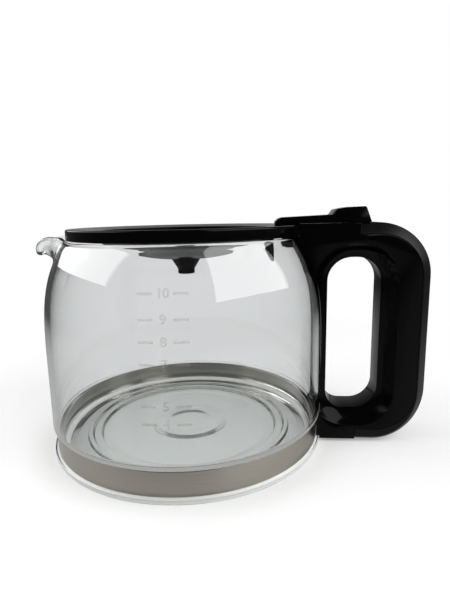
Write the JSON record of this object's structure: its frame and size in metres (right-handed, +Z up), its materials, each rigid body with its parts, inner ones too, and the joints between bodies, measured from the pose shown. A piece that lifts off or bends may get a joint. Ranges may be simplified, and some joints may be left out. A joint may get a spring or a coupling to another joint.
{
  "type": "coffee server carafe",
  "caption": "Glass coffee server carafe with a brushed steel waist band, a black loop handle and a flat hinged drip-through lid with a thumb tab.",
  "frame": {"origin": "the jug's axis, on the surface that the jug stands on", "axes": "+Z up along the jug's axis, +X towards the handle, -X towards the pouring lip, +Y along the hinge pin"},
  "size_m": [0.2048, 0.1432, 0.1206],
  "materials": {
    "jug_glass": "clear blown glass",
    "band_steel": "brushed along the band",
    "fastener_steel": "plain",
    "handle_gloss": "gloss black",
    "spine_satin": "satin black",
    "lid_gloss": "gloss black"
  },
  "bodies": {
    "jug": {"glass_jug": "jug_glass", "steel_band": "band_steel", "band_screw": "fastener_steel", "band_nut": "fastener_steel", "handle_body": "handle_gloss", "handle_spine": "spine_satin", "rim_hook": "handle_gloss", "hook_screw": "fastener_steel", "hinge_pin": "fastener_steel"},
    "lid": {"lid_shell": "lid_gloss", "lid_funnel": "lid_gloss", "drip_nozzle": "lid_gloss", "lid_arm": "lid_gloss", "arm_screws": "fastener_steel"}
  },
  "joints": [
    {"name": "lid_hinge", "type": "hinge", "parent": "jug", "child": "lid", "pos_m": [0.0975, 0, 0.1102], "axis": [0, 1, 0], "range_deg": [0, 85]}
  ]
}
